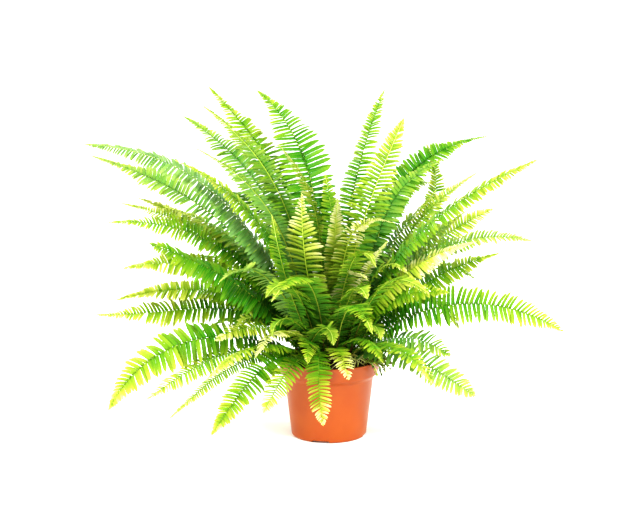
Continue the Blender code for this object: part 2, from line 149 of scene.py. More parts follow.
# Reading the solid fronds: a stalk's section has four corners and a leaflet's tip has two, and
# they are nearer to each other than anything else is.
CROWN_RADIUS = 44 * MM
SECTION_SPAN = 2.7 * MM
TIP_SECTION_SPAN = 1.55 * MM
BARE_SHARE = 0.15

# The fronds with a grey sheen painted on their blades, a painted reflection of the sky, and how strong it is.
PAINTED_SKY_SHEEN = {
    "frond_12": 0.45, "frond_13": 0.80, "frond_15": 0.45, "frond_16": 0.35, "frond_17": 0.30,
    "frond_29": 0.35, "frond_33": 0.40, "frond_27": 0.25,
}

# Leaflets
LEAN_AT_BASE = 4
LEAN_AT_TIP = 40
FIRST_LEAFLET_SHARE = 0.06
FIRST_LEAFLET = 9 * MM
SPACING_AT_LEAST = 1.6 * MM
SPACING_PER_LENGTH = 0.165
SMALL_LEAFLET = 9 * MM
SHORTEST_LEAFLET = 1.2 * MM
STALK_RADIUS = 1.1 * MM
STALK_TIP_RADIUS = 0.35 * MM
STALK_STEP = 6 * MM
STALK_DEPTH = 6 * MM
RIB_STEP = 2 * MM
CLOSEST_SHARE = 0.45
SIZE_DRIFT = 0.16
TAIL_START = 0.78
TAIL_RUN = 0.10
MISSING_SHARE = 0.012
# How far a leaflet's edges rise against its half width, and how deep its midrib is under it,
# against its length.
LEAFLET_CUP = 0.0875
MIDRIB_DEPTH = 0.022
# Degrees by which each leaflet is off its neighbours' lean, fold and turn, at most.
LEAN_SCATTER = 6
FOLD_SCATTER = 8
TURN_SCATTER = 14
SCALES_PER_STALK = 36
SCALY_LENGTH = 34 * MM
MOST_TURN = math.radians(36)
MOST_DRIFT = 28
MOST_FOLD = 22
SHORT_FROND = 190 * MM

# How young each frond is, from 0, old and dark, to 1, new and nearly cream: one value for each
# frond in a node, in the order in which they're read. The rest is drawn.
YOUTH = {
    "frond_01": (0.26, 0.30), "frond_02": (0.36,), "frond_03": (0.35, 0.19), "frond_04": (0.30, 0.43),
    "frond_05": (0.24, 0.37), "frond_06": (0.32,), "frond_07": (0.26, 0.35), "frond_08": (0.30,),
    "frond_09": (0.10,), "frond_10": (0.24,), "frond_11": (0.36, 0.33), "frond_12": (0.24, 0.17),
    "frond_13": (0.12,), "frond_14": (0.26,), "frond_15": (0.17, 0.19), "frond_16": (0.17,),
    "frond_17": (0.20,), "frond_18": (0.22, 0.15), "frond_19": (0.14,), "frond_20": (0.40,),
    "frond_21": (0.17,), "frond_22": (0.17,), "frond_23": (0.20, 0.27), "frond_24": (0.13, 0.22),
    "frond_25": (0.12, 0.10), "frond_26": (0.29, 0.24), "frond_27": (0.14, 0.36), "frond_28": (0.24, 0.32),
    "frond_29": (0.29, 0.26), "frond_30": (0.53, 0.26), "frond_31": (0.17, 0.26), "frond_32": (0.26, 0.20),
    "frond_33": (0.20, 0.29), "frond_34": (0.33, 0.24), "frond_35": (0.45, 0.40), "frond_36": (0.46, 0.22),
    "frond_37": (0.17, 0.56), "frond_38": (0.40,), "frond_39": (0.62, 0.50), "frond_40": (0.45, 0.20),
    "frond_41": (0.60, 0.50), "frond_42": (0.36,), "frond_43": (0.19, 0.15), "frond_44": (0.22, 0.17),
}


def linear(code):
    """An sRGB hex colour as the linear red, green, blue and alpha that a shader takes."""
    shares = [int(code[k:k + 2], 16) / 255 for k in (1, 3, 5)]
    return [s / 12.92 if s <= 0.04045 else ((s + 0.055) / 1.055) ** 2.4 for s in shares] + [1]


def add(tree, kind, settings=None, links=None):
    """Adds a node, sets its fields and its sockets, and links its inputs, each to a socket or to
    the first output of another node."""
    made = tree.nodes.new("ShaderNode" + kind)
    for name, value in (settings or {}).items():
        if isinstance(name, str) and hasattr(made, name):
            setattr(made, name, value)
        else:
            made.inputs[name].default_value = value
    for name, source in (links or {}).items():
        tree.links.new(source.outputs[0] if hasattr(source, "outputs") else source, made.inputs[name])
    return made


def new_material(name):
    """An empty node material."""
    made = bpy.data.materials.new(name)
    made.use_nodes = True
    made.node_tree.nodes.clear()
    return made


def set_stops(ramp, stops):
    """Gives a colour ramp its stops, each a place from 0 to 1 and an sRGB hex colour."""
    elements = ramp.color_ramp.elements
    while len(elements) < len(stops):
        elements.new(1)
    for element, (place, code) in zip(elements, stops):
        element.position = place
        element.color = linear(code)


def fern_blade():
    """Living fern blade: thin green tissue under a waxy skin. It shines softly on top, is paler
    and duller underneath, lets light through, and is dark when old and yellow-green when young."""
    made = new_material("fern_blade")
    tree = made.node_tree
    growth = add(tree, "Attribute", {"attribute_name": "growth"})
    grown = add(tree, "SeparateColor", links={"Color": growth})
    uv = add(tree, "UVMap", {"uv_map": "leaflet"})
    place = add(tree, "SeparateXYZ", links={"Vector": uv})
    # the underside's map lies two units above the top's
    under = add(tree, "Math", {"operation": "GREATER_THAN", 1: 1.5}, {0: place.outputs["Y"]})
    across = add(tree, "Math", {"operation": "FRACT"}, {0: place.outputs["Y"]})
    aside = add(tree, "Math", {"operation": "SUBTRACT", 1: 0.5}, {0: across})
    half = add(tree, "Math", {"operation": "ABSOLUTE"}, {0: aside})
    # side veins run forward from the midrib, about 1.5 mm apart on a long leaflet
    slant = add(tree, "Math", {"operation": "MULTIPLY_ADD", 1: -0.25}, {0: half, 2: place.outputs["X"]})
    along = add(tree, "CombineXYZ", links={"X": slant})
    veins = add(tree, "TexWave", {"Scale": 4.2}, {"Vector": along})
    vein_line = add(tree, "Math", {"operation": "POWER", 1: 5.0}, {0: veins.outputs["Fac"]})
    rib = {"From Min": 0.02, "From Max": 0.09, "To Min": 1, "To Max": 0}
    midrib = add(tree, "MapRange", rib, {"Value": half})
    # ripeness: the frond's tip, its youth and each leaflet's own tone add up. Youth shows most far from the
    # crown: this is partly real age and partly painted shade, darker near the crown where the plant's depth
    # shades the blade. Each leaflet is also painted lighter towards its end
    # painted shade: the blade is darker near the crown, as well as less young there
    outer = add(tree, "Math", {"operation": "MULTIPLY_ADD", 1: 0.72, 2: 0.44}, {0: grown.outputs["Red"]})
    youth_with_crown_shade = add(tree, "Math", {"operation": "MULTIPLY"}, {0: grown.outputs["Green"], 1: outer})
    far = add(tree, "Math", {"operation": "POWER", 1: 2.0}, {0: grown.outputs["Red"]})
    tip = add(tree, "Math", {"operation": "MULTIPLY_ADD", 1: 0.27}, {0: far, 2: youth_with_crown_shade})
    tone = add(tree, "Math", {"operation": "MULTIPLY_ADD", 1: 0.20}, {0: grown.outputs["Blue"], 2: tip})
    # painted highlight: each leaflet is lighter towards its end, where it catches the light, and darker at
    # the rib
    lit_leaflet_ends = add(tree, "Math", {"operation": "MULTIPLY_ADD", 1: 0.22}, {0: place.outputs["X"], 2: tone})
    coords = add(tree, "TexCoord").outputs["Object"]
    blotch = add(tree, "TexNoise", {"Scale": 60, "Detail": 3}, {"Vector": coords})
    # ripeness with the painted shade and highlight, and patches of tone
    ripeness_and_painted_light = add(tree, "Math", {"operation": "MULTIPLY_ADD", 1: 0.20}, {0: blotch, 2: lit_leaflet_ends})
    top = add(tree, "ValToRGB", links={"Fac": ripeness_and_painted_light})
    set_stops(top, [(0.24, "#065006"), (0.42, "#1E820A"), (0.62, "#6A9E18"),
                    (0.79, "#9EB230"), (0.92, "#C2C85A"), (1.0, "#DEDC9C")])
    back = add(tree, "ValToRGB", links={"Fac": ripeness_and_painted_light})
    set_stops(back, [(0.24, "#1A5A14"), (0.46, "#3E841E"), (0.66, "#7CA02A"),
                     (0.82, "#A6B640"), (0.92, "#CACE6E"), (1.0, "#E2E0A8")])
    faces = add(tree, "Mix", {"data_type": "RGBA"}, {0: under, 6: top, 7: back})
    # painted reflection: a grey sheen of the sky painted on some blades in patches
    painted_sheen = add(tree, "Math", {"operation": "MULTIPLY"}, {0: growth.outputs["Alpha"], 1: blotch})
    sky_sheen_mixed = add(tree, "Mix", {"data_type": "RGBA", 7: linear("#A2BE8C")}, {0: painted_sheen, 6: faces.outputs[2]})
    lines = add(tree, "Math", {"operation": "MAXIMUM"}, {0: midrib, 1: vein_line})
    lines_share = add(tree, "Math", {"operation": "MULTIPLY", 1: 0.30}, {0: lines})
    vein_green = {"data_type": "RGBA", 7: linear("#BCCB58")}
    veined = add(tree, "Mix", vein_green, {0: lines_share, 6: sky_sheen_mixed.outputs[2]})
    # light that comes through the blade is a purer green
    glow = add(tree, "Mix", {"data_type": "RGBA", 0: 0.35, 7: linear("#7CB808")}, {6: veined.outputs[2]})
    relief = add(tree, "Math", {"operation": "MULTIPLY_ADD", 1: 0.5}, {0: lines, 2: blotch})
    bump = add(tree, "Bump", {"Strength": 0.5, "Distance": 0.2 * MM}, {"Height": relief})
    rough = add(tree, "MapRange", {"To Min": 0.33, "To Max": 0.60}, {"Value": under})
    skin = add(tree, "BsdfPrincipled", {"IOR": 1.45, "Specular IOR Level": 0.20},
               {"Base Color": veined.outputs[2], "Roughness": rough, "Normal": bump})
    through = add(tree, "BsdfTranslucent", links={"Color": glow.outputs[2]})
    both = add(tree, "MixShader", {0: 0.22}, {1: skin, 2: through})
    add(tree, "OutputMaterial", links={"Surface": both})
    return made


def fern_stalk():
    """Fern stalk: a tough ribbed stem, brown and scaly at the crown and straw green further out."""
    made = new_material("fern_stalk")
    tree = made.node_tree
    growth = add(tree, "Attribute", {"attribute_name": "growth"})
    grown = add(tree, "SeparateColor", links={"Color": growth})
    coords = add(tree, "TexCoord").outputs["Object"]
    # fine scales, 1 mm, drawn coarser than the real fuzz so that they show
    scales = add(tree, "TexNoise", {"Scale": 900, "Detail": 2}, {"Vector": coords})
    mottled = add(tree, "Math", {"operation": "MULTIPLY_ADD", 1: 0.18, 2: -0.09}, {0: scales})
    reach = add(tree, "Math", {"operation": "ADD"}, {0: grown.outputs["Red"], 1: mottled})
    colour = add(tree, "ValToRGB", links={"Fac": reach})
    set_stops(colour, [(0.0, "#4A2E16"), (0.10, "#6E5A26"), (0.30, "#8C9A34"),
                       (0.7, "#A8BC3C"), (1.0, "#CFE070")])
    bump = add(tree, "Bump", {"Strength": 0.6, "Distance": 0.2 * MM}, {"Height": scales})
    skin = add(tree, "BsdfPrincipled", {"Roughness": 0.55, "IOR": 1.45},
               {"Base Color": colour, "Normal": bump})
    add(tree, "OutputMaterial", links={"Surface": skin})
    return made


def moulded_polypropylene():
    """Injection-moulded polypropylene in terracotta orange: a fine even grain from the mould, a
    broad soft shine, and peat dust where the wall meets the soil."""
    made = new_material("moulded_polypropylene")
    tree = made.node_tree
    coords = add(tree, "TexCoord").outputs["Object"]
    # flow clouds some 30 mm wide, and mould grain of 0.8 mm
    cloud = add(tree, "TexNoise", {"Scale": 28, "Detail": 3}, {"Vector": coords})
    grain = add(tree, "TexNoise", {"Scale": 1200, "Detail": 2}, {"Vector": coords})
    body = add(tree, "ValToRGB", links={"Fac": cloud})
    set_stops(body, [(0.30, "#9A4504"), (0.70, "#A04D06")])
    place = add(tree, "SeparateXYZ", links={"Vector": coords})
    # peat dust lies on the inside of the collar, whose walls lean out as they rise
    collar_line = COLLAR_RADIUS - COLLAR_LEAN * (POT_HEIGHT - COLLAR_HEIGHT)
    radius = add(tree, "VectorMath", {"operation": "MULTIPLY", 1: (1, 1, 0)}, {0: coords})
    reach = add(tree, "VectorMath", {"operation": "LENGTH"}, {0: radius})
    upright = add(tree, "Math", {"operation": "MULTIPLY_ADD", 1: -COLLAR_LEAN},
                  {0: place.outputs["Z"], 2: reach.outputs["Value"]})
    within_wall = {"From Min": collar_line - 0.55 * MM, "From Max": collar_line - 0.95 * MM}
    inside = add(tree, "MapRange", within_wall, {"Value": upright})
    above_step = {"From Min": POT_HEIGHT - COLLAR_HEIGHT, "From Max": POT_HEIGHT - 15 * MM}
    high = add(tree, "MapRange", above_step, {"Value": place.outputs["Z"]})
    below_rim = {"From Min": POT_HEIGHT - 0.2 * MM, "From Max": POT_HEIGHT - 4 * MM}
    fade = add(tree, "MapRange", below_rim, {"Value": place.outputs["Z"]})
    speck = add(tree, "TexNoise", {"Scale": 420, "Detail": 4}, {"Vector": coords})
    specks = add(tree, "MapRange", {"From Min": 0.42, "From Max": 0.60}, {"Value": speck})
    inner = add(tree, "Math", {"operation": "MULTIPLY"}, {0: inside, 1: high})
    lower = add(tree, "Math", {"operation": "MULTIPLY"}, {0: inner, 1: fade})
    dust = add(tree, "Math", {"operation": "MULTIPLY"}, {0: lower, 1: specks})
    dusty = add(tree, "Mix", {"data_type": "RGBA", 7: linear("#5A3620")}, {0: dust, 6: body})
    rough = add(tree, "MapRange", {"To Min": 0.27, "To Max": 0.37}, {"Value": cloud})
    bump = add(tree, "Bump", {"Strength": 0.12, "Distance": 0.2 * MM}, {"Height": grain})
    skin = add(tree, "BsdfPrincipled", {"IOR": 1.49},
               {"Base Color": dusty.outputs[2], "Roughness": rough, "Normal": bump})
    add(tree, "OutputMaterial", links={"Surface": skin})
    return made


def damp_peat():
    """Milled peat, dug and sieved: dark brown and crumbly, with paler fibres and damp patches."""
    made = new_material("damp_peat")
    tree = made.node_tree
    coords = add(tree, "TexCoord").outputs["Object"]
    # crumbs of 3 mm in patches of 20 mm
    patch = add(tree, "TexNoise", {"Scale": 50, "Detail": 4}, {"Vector": coords})
    crumb = add(tree, "TexVoronoi", {"Scale": 330}, {"Vector": coords})
    both = add(tree, "Math", {"operation": "MULTIPLY_ADD", 1: 0.5}, {0: crumb, 2: patch})
    colour = add(tree, "ValToRGB", links={"Fac": both})
    set_stops(colour, [(0.30, "#120B07"), (0.60, "#2A1A10"), (0.85, "#4A3120"), (1.0, "#6B4A30")])
    bump = add(tree, "Bump", {"Strength": 0.8, "Distance": 1 * MM}, {"Height": both})
    skin = add(tree, "BsdfPrincipled", {"Roughness": 0.9, "IOR": 1.4}, {"Base Color": colour, "Normal": bump})
    add(tree, "OutputMaterial", links={"Surface": skin})
    return made


def cushion_moss():
    """Cushion moss: tiny leaves in tufts, from deep green to yellow-green."""
    made = new_material("cushion_moss")
    tree = made.node_tree
    coords = add(tree, "TexCoord").outputs["Object"]
    # tufts of 4 mm
    tuft = add(tree, "TexNoise", {"Scale": 250, "Detail": 2}, {"Vector": coords})
    colour = add(tree, "ValToRGB", links={"Fac": tuft})
    set_stops(colour, [(0.30, "#2E4A0E"), (0.55, "#5C7E1A"), (0.75, "#93A62E")])
    skin = add(tree, "BsdfPrincipled", {"Roughness": 0.75, "IOR": 1.45}, {"Base Color": colour})
    add(tree, "OutputMaterial", links={"Surface": skin})
    return made


def wiry_runner():
    """Fern runner: a dry wiry stem, pale straw green, browner where it is old."""
    made = new_material("wiry_runner")
    tree = made.node_tree
    coords = add(tree, "TexCoord").outputs["Object"]
    patch = add(tree, "TexNoise", {"Scale": 70, "Detail": 3}, {"Vector": coords})
    colour = add(tree, "ValToRGB", links={"Fac": patch})
    set_stops(colour, [(0.30, "#B4B050"), (0.46, "#E0DE7C"), (0.70, "#F4F0B8")])
    bump = add(tree, "Bump", {"Strength": 0.4, "Distance": 0.2 * MM}, {"Height": patch})
    skin = add(tree, "BsdfPrincipled", {"Roughness": 0.6, "IOR": 1.45},
               {"Base Color": colour, "Normal": bump})
    add(tree, "OutputMaterial", links={"Surface": skin})
    return made


def creeping_leaf():
    """Leaves of the small creeper by the rim: soft and mid green, with a rusty edge."""
    made = new_material("creeping_leaf")
    tree = made.node_tree
    growth = add(tree, "Attribute", {"attribute_name": "growth"})
    grown = add(tree, "SeparateColor", links={"Color": growth})
    uv = add(tree, "UVMap", {"uv_map": "leaflet"})
    middle = add(tree, "VectorMath", {"operation": "DISTANCE", 1: (0.5, 0.5, 0)}, {0: uv})
    rust = add(tree, "MapRange", {"From Min": 0.34, "From Max": 0.50}, {"Value": middle.outputs["Value"]})
    tone = add(tree, "ValToRGB", links={"Fac": grown.outputs["Blue"]})
    set_stops(tone, [(0.0, "#3C6E14"), (0.6, "#6E9A20"), (1.0, "#A8B838")])
    edged = add(tree, "Mix", {"data_type": "RGBA", 7: linear("#6A4A1C")}, {0: rust, 6: tone})
    skin = add(tree, "BsdfPrincipled", {"Roughness": 0.55, "IOR": 1.45}, {"Base Color": edged.outputs[2]})
    add(tree, "OutputMaterial", links={"Surface": skin})
    return made


def studio_paint():
    """Matt white emulsion on the studio floor."""
    made = new_material("studio_paint")
    tree = made.node_tree
    look = {"Base Color": linear("#FDFDFC"), "Roughness": 0.9, "Specular IOR Level": 0.1}
    skin = add(tree, "BsdfPrincipled", look)
    add(tree, "OutputMaterial", links={"Surface": skin})
    return made


def deselect_all():
    for other in bpy.context.view_layer.objects:
        other.select_set(False)


def only(piece):
    """Makes a piece the only one selected, and the active one."""
    deselect_all()
    piece.select_set(True)
    bpy.context.view_layer.objects.active = piece


def at_turn(turn, radius, height=0):
    """The point that far from the pot's axis, in that direction, at that height."""
    return Vector((radius * math.cos(turn), radius * math.sin(turn), height))


def add_copy(bm, mesh, matrix, growth=None):
    """Adds a copy of a small mesh to a piece's mesh, with its own growth colour where it has one."""
    copied = mesh.copy()
    copied.transform(matrix)
    if matrix.determinant() < 0:
        copied.flip_normals()
    if growth:
        copied.attributes["growth"].data.foreach_set("color", list(growth) * len(copied.vertices))
    bm.from_mesh(copied)
    bpy.data.meshes.remove(copied)


def tube(points, radius, taper, power=1.0):
    """A round wire through the points that thins to taper times its radius, as a mesh."""
    curve = bpy.data.curves.new("wire", "CURVE")
    curve.dimensions = "3D"
    curve.bevel_depth = radius
    curve.bevel_resolution = 1
    curve.use_fill_caps = True
    spline = curve.splines.new("POLY")
    spline.points.add(len(points) - 1)
    for k, place in enumerate(points):
        spline.points[k].co = (*place, 1)
        spline.points[k].radius = 1 + (taper - 1) * (k / (len(points) - 1)) ** power
    piece = bpy.data.objects.new("wire", curve)
    bpy.context.scene.collection.objects.link(piece)
    only(piece)
    bpy.ops.object.convert(target="MESH")
    mesh = piece.data
    mesh.shade_smooth()
    bpy.data.objects.remove(piece)
    return mesh


def finish_piece(name, bm, finishes, node):
    """Makes a piece of a mesh, gives it its finishes and puts it in the place of its solid."""
    mesh = bpy.data.meshes.new(name)
    bm.to_mesh(mesh)
    bm.free()
    piece = bpy.data.objects.new(name, mesh)
    bpy.context.scene.collection.objects.link(piece)
    for finish in finishes:
        mesh.materials.append(finish)
    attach(piece, "root")
    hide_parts(node)


# ---- camera, light and floor ----

AIM_SHARE = 0.530
CAMERA_DISTANCE = 1.8
CAMERA_RISE = math.radians(9.7)
CAMERA_LENS = 80
CAMERA_SENSOR = 36
FLOOR_REACH = 6
SKY_STRENGTH = 1.14

# name, place, size and power of each softbox
SOFTBOXES = [
    ("key_light", (1.1, -1.5, 1.5), 0.5, 36),
    ("fill_light", (-1.6, -1.1, 0.7), 1.0, 22),
    ("side_light", (1.7, 0.0, 0.5), 0.8, 7),
    ("back_light", (-1.2, 1.3, 1.5), 0.9, 12),
]


def add_camera():
    """A long lens in front of the plant, a little above it."""
    aim = Vector(((cad_low.x + cad_high.x) / 2, 0, cad_high.z * AIM_SHARE))
    back = Vector((0, -math.cos(CAMERA_RISE), math.sin(CAMERA_RISE)))
    bpy.ops.object.camera_add(location=aim + back * CAMERA_DISTANCE)
    camera = bpy.context.object
    camera.rotation_euler = (-back).to_track_quat("-Z", "Y").to_euler()
    camera.data.lens = CAMERA_LENS
    camera.data.sensor_width = CAMERA_SENSOR
    bpy.context.scene.camera = camera


def add_softbox(name, place, size, power):
    """A square softbox that faces the middle of the plant."""
    middle = (cad_low + cad_high) / 2
    bpy.ops.object.light_add(type="AREA", location=place)
    box = bpy.context.object
    box.name = name
    box.data.size = size
    box.data.energy = power
    box.rotation_euler = (middle - Vector(place)).to_track_quat("-Z", "Y").to_euler()


def add_studio(paint):
    """A white floor under a white sky, a key light from the front right and three fills."""
    below = (0, 0, -0.2 * MM)
    bpy.ops.mesh.primitive_circle_add(vertices=96, radius=FLOOR_REACH, fill_type="NGON", location=below)
    floor = bpy.context.object
    floor.name = "floor"
    floor.data.materials.append(paint)
    sky = bpy.data.worlds.new("white_sky")
    sky.use_nodes = True
    sky.node_tree.nodes["Background"].inputs["Color"].default_value = linear("#FFFFFF")
    sky.node_tree.nodes["Background"].inputs["Strength"].default_value = SKY_STRENGTH
    bpy.context.scene.world = sky
    # plain display of the colours, as a product picture has them
    bpy.context.scene.view_settings.view_transform = "Standard"
    bpy.context.scene.view_settings.look = "High Contrast"
    for name, place, size, power in SOFTBOXES:
        add_softbox(name, place, size, power)


# ---- fronds ----

Blade = namedtuple("Blade", "line bays width")
Bay = namedtuple("Bay", "share across up")
Habit = namedtuple("Habit", "fullness skyward sag fold drift tail taper")


def sections(node):
    """Groups of a solid frond's corners that lie close together, and which groups are beside which."""
    bm = bmesh.new()
    bm.from_mesh(frame["nodes"][node].data)
    bmesh.ops.remove_doubles(bm, verts=bm.verts, dist=0.01 * MM)
    group_of = {}
    groups = []
    for start in bm.verts:
        if start in group_of:
            continue
        group_of[start] = len(groups)
        group = [start]
        for corner in group:
            for edge in corner.link_edges:
                other = edge.other_vert(corner)
                if other not in group_of and edge.calc_length() < SECTION_SPAN:
                    group_of[other] = len(groups)
                    group.append(other)
        groups.append(group)
    beside = [set() for group in groups]
    for edge in bm.edges:
        first, second = (group_of[corner] for corner in edge.verts)
        if first != second:
            beside[first].add(second)
            beside[second].add(first)
    places = [[corner.co.copy() for corner in group] for group in groups]
    bm.free()
    return places, beside


def middle_of(places):
    return sum(places, Vector()) / len(places)


def smooth_line(stations, step):
    """Points about a step apart on a smooth curve through the stations."""
    gaps = [(b - a).length for a, b in zip(stations, stations[1:])]
    slopes = [(stations[1] - stations[0]) / gaps[0]]
    for k in range(1, len(stations) - 1):
        before = (stations[k] - stations[k - 1]) / gaps[k - 1]
        after = (stations[k + 1] - stations[k]) / gaps[k]
        slopes.append((before * gaps[k] + after * gaps[k - 1]) / (gaps[k - 1] + gaps[k]))
    slopes.append((stations[-1] - stations[-2]) / gaps[-1])
    line = [stations[0]]
    for k, gap in enumerate(gaps):
        count = max(1, round(gap / step))
        for j in range(1, count + 1):
            t = j / count
            place = stations[k] * (2 * t**3 - 3 * t**2 + 1) + stations[k + 1] * (3 * t**2 - 2 * t**3)
            place += (slopes[k] * (t**3 - 2 * t**2 + t) + slopes[k + 1] * (t**3 - t**2)) * gap
            line.append(place)
    return line


def rib_length(line):
    return sum((b - a).length for a, b in zip(line, line[1:]))


def leaflet_share(u, taper=1.7):
    """How long the leaflets are at a share u of the rib, against the longest. A frond with a high
    taper stays wide nearly to its tip."""
    blade = (u - BARE_SHARE) / (1 - BARE_SHARE)
    rising = 0.22 + 0.78 * min(1, u / 0.36) ** 0.85
    falling = (1 - max(0, (blade - 0.45) / 0.55) ** taper) ** 0.9
    return rising * falling


def read_blades(node):
    """The fronds in a solid node: each one's rib, the lie of its blade and its half width."""
    places, beside = sections(node)
    rings = {k for k, group in enumerate(places) if len(group) == 4}
    corners = [place for group in places for place in group]
    foot = middle_of([place for place in corners if place.z < SOIL_EDGE and place.xy.length < CROWN_RADIUS])
    crown = Vector((foot.x, foot.y, SOIL_TOP + 1 * MM))
    spans = [max((a - b).length for a in group for b in group) for group in places]
    blades = []
    for tip in sorted(rings):
        if spans[tip] > TIP_SECTION_SPAN or len(beside[tip] & rings) != 1:
            continue
        chain = [tip]
        while True:
            # a stalk only grows thicker on the way down
            onward = [k for k in beside[chain[-1]] & rings - set(chain) if spans[k] > spans[chain[-1]]]
            if not onward:
                break
            chain.append(onward[0])
        chain.reverse()
        # the stations in and next to the crown give way to one at the soil's top
        clear = [k for k in chain if (middle_of(places[k]) - crown).length > 5 * MM]
        clear = [k for k in clear if middle_of(places[k]) != foot]
        stations = [crown] + [middle_of(places[k]) for k in clear]
        line = smooth_line(stations, RIB_STEP)
        tree = KDTree(len(line))
        for k, place in enumerate(line):
            tree.insert(place, k)
        tree.balance()
        bays = []
        width = 0
        for low, high in zip(clear, clear[1:]):
            tips = [middle_of(places[k]) for k in beside[low] & beside[high] if len(places[k]) == 2]
            if len(tips) != 2:
                continue
            centre = (middle_of(places[low]) + middle_of(places[high])) / 2
            along = (middle_of(places[high]) - middle_of(places[low])).normalized()
            across = (tips[0] - tips[1]).normalized()
            up = across.cross(along).normalized()
            sunk = centre - middle_of(tips)
            if sunk.dot(up) < 0:
                up, across = -up, -across
            share = tree.find(centre)[1] / (len(line) - 1)
            length = (tips[0] - centre).length
            bays.append(Bay(share, across, up))
            if share < 0.8:
                width = max(width, length / leaflet_share(share))
        blades.append(Blade(line, bays, width))
    return blades


def leaflet_outline(x):
    """Half widths of a leaflet, against its width, at a share x of its length: (towards the
    frond's tip, towards its foot). The lobe at its base is longer on the tip's side."""
    body = 0.43 * (1 - max(0, (x - 0.50) / 0.50) ** 2.6) ** 0.6
    lobe = math.exp(-((x - 0.05) / 0.07) ** 2)
    return body + 0.16 * lobe, body + 0.02 * lobe


def model_leaflet(name, bays, notch, sag, curl):
    """A leaflet 1 m long and 1 m wide, along +X with the frond's tip on its +Y side: a thin closed
    blade with a sunken midrib and a scalloped edge, modelled once for all its copies."""
    bpy.ops.mesh.primitive_grid_add(x_subdivisions=bays, y_subdivisions=2, size=2)
    piece = bpy.context.object
    piece.name = name
    only(piece)
    piece.data.uv_layers[0].name = "leaflet"
    for corner in piece.data.vertices:
        x = (corner.co.x + 1) / 2
        side = round(corner.co.y)
        share = x ** 0.9
        ahead, behind = leaflet_outline(share)
        half = ahead if side > 0 else behind
        scallop = 1 - notch * (round(x * bays) % 2)
        corner.co.y = side * half * scallop + curl * share**2
        corner.co.x = share
        corner.co.z = -sag * share**2 + LEAFLET_CUP * abs(side) * half
    bpy.ops.object.mode_set(mode="EDIT")
    bpy.ops.mesh.select_all(action="SELECT")
    bpy.ops.mesh.duplicate()
    bpy.ops.mesh.flip_normals()
    bpy.ops.object.mode_set(mode="OBJECT")
    mesh = piece.data
    half_count = len(mesh.vertices) // 2
    for corner in mesh.vertices[half_count:]:
        inner = abs(corner.co.y - curl * corner.co.x**2) < 1e-6 and 0.01 < corner.co.x < 0.99
        if inner:
            corner.co.z -= MIDRIB_DEPTH
    for face in mesh.polygons[len(mesh.polygons) // 2:]:
        for corner in face.loop_indices:
            mesh.uv_layers[0].data[corner].uv.y += 2
    bpy.ops.object.mode_set(mode="EDIT")
    bpy.ops.mesh.select_all(action="SELECT")
    bpy.ops.mesh.remove_doubles(threshold=1e-5)
    bpy.ops.mesh.normals_make_consistent(inside=False)
    bpy.ops.object.mode_set(mode="OBJECT")
    bpy.ops.object.shade_smooth_by_angle(angle=math.radians(60))
    mesh.attributes.new("growth", "FLOAT_COLOR", "POINT")
    bpy.data.objects.remove(piece)
    return mesh


def model_leaflets():
    """Long leaflets with a scalloped edge and small ones with a plain edge, each sagging its own way."""
    lies = [(0.10, 0.02), (0.18, 0.10), (0.26, -0.03), (0.14, 0.14)]
    long = [model_leaflet("leaflet", 10, 0.12, sag, curl) for sag, curl in lies]
    small = [model_leaflet("small_leaflet", 6, 0, sag, curl) for sag, curl in lies]
    return long, small


def blade_axes(blade, u):
    """The directions across and up from the blade at a share u of its rib."""
    before = [bay for bay in blade.bays if bay.share <= u]
    after = [bay for bay in blade.bays if bay.share > u]
    if not before or not after:
        bay = after[0] if after else before[-1]
        return bay.across, bay.up
    low, high = before[-1], after[0]
    share = (u - low.share) / (high.share - low.share)
    return low.across.lerp(high.across, share), low.up.lerp(high.up, share)


def point_on(line, u):
    """The point at a share u of a line, and the way that the line runs there."""
    place = min(max(u, 0), 1) * (len(line) - 1)
    k = min(int(place), len(line) - 2)
    return line[k].lerp(line[k + 1], place - k), (line[k + 1] - line[k]).normalized()


def draw_habit(length, draw):
    """How a frond bears its leaflets: their width against their spacing, how far they turn to the
    sky, their sag, the fold of its blade in degrees, where its noise starts, how much its last
    leaflets shrink, and how late its blade tapers."""
    fullness = draw.uniform(0.94, 1.22)
    skyward = draw.uniform(0.05, 0.50)
    sag = draw.uniform(0.6, 1.5)
    fold = draw.uniform(-10, 8)
    drift = draw.uniform(0, 100)
    tail = draw.choice((0, 0, 0.35, 0.5))
    taper = draw.uniform(1.8, 2.6)
    if length < SHORT_FROND:
        tail = 0
        taper = draw.uniform(2.2, 2.8)
    return Habit(fullness, skyward, sag, fold, drift, tail, taper)


